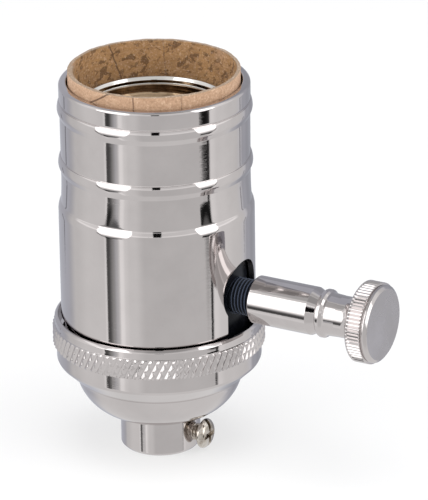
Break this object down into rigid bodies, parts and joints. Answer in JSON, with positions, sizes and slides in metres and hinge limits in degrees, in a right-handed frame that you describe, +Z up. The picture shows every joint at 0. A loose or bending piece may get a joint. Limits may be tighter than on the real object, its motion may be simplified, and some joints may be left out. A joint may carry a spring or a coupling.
{
  "type": "turn knob lamp socket",
  "caption": "Polished nickel lamp socket with a knurled turn knob on its side, a knurled cap on a pipe neck, a tan insulating liner and an Edison screw shell inside.",
  "frame": {"origin": "centre of the pipe neck's lower face, where the threaded pipe enters", "axes": "+Z up the socket from the pipe neck to the lamp's mouth, +X along the turn knob's stem, +Y completes the right-handed frame"},
  "size_m": [0.0701, 0.0416, 0.0786],
  "materials": {
    "polished_nickel": "polished warm nickel plate on turned brass",
    "tan_fibre": "tan insulating fibreboard tube",
    "black_phenolic": "black moulded phenolic with a slight gloss",
    "plain_brass": "plain rolled brass",
    "plated_steel": "zinc plated steel"
  },
  "bodies": {
    "socket": {"socket_cap": "polished_nickel", "set_screw": "plated_steel", "outer_shell": "polished_nickel", "insulating_liner": "tan_fibre", "switch_base": "black_phenolic", "contact_block": "black_phenolic", "screw_shell": "polished_nickel", "flange_rivet_line": "plain_brass", "flange_rivet_neutral": "plain_brass", "centre_contact": "plain_brass", "centre_rivet": "plain_brass", "load_contact": "plain_brass", "line_contact": "plain_brass", "line_terminal_screw": "plain_brass", "neutral_strap": "plain_brass", "neutral_terminal_screw": "plated_steel", "detent_spring": "plated_steel", "body_screw_1": "plated_steel", "body_screw_2": "plated_steel"},
    "turn_rotor": {"turn_knob": "polished_nickel", "switch_shaft": "plated_steel", "switch_rotor": "black_phenolic", "contact_bridge": "plain_brass", "shaft_clip": "plated_steel"}
  },
  "joints": [
    {"name": "knob_turn", "type": "hinge", "parent": "socket", "child": "turn_rotor", "pos_m": [0, 0, 0.0346], "axis": [1, 0, 0], "continuous": true, "deforming": ["detent_spring"]}
  ]
}
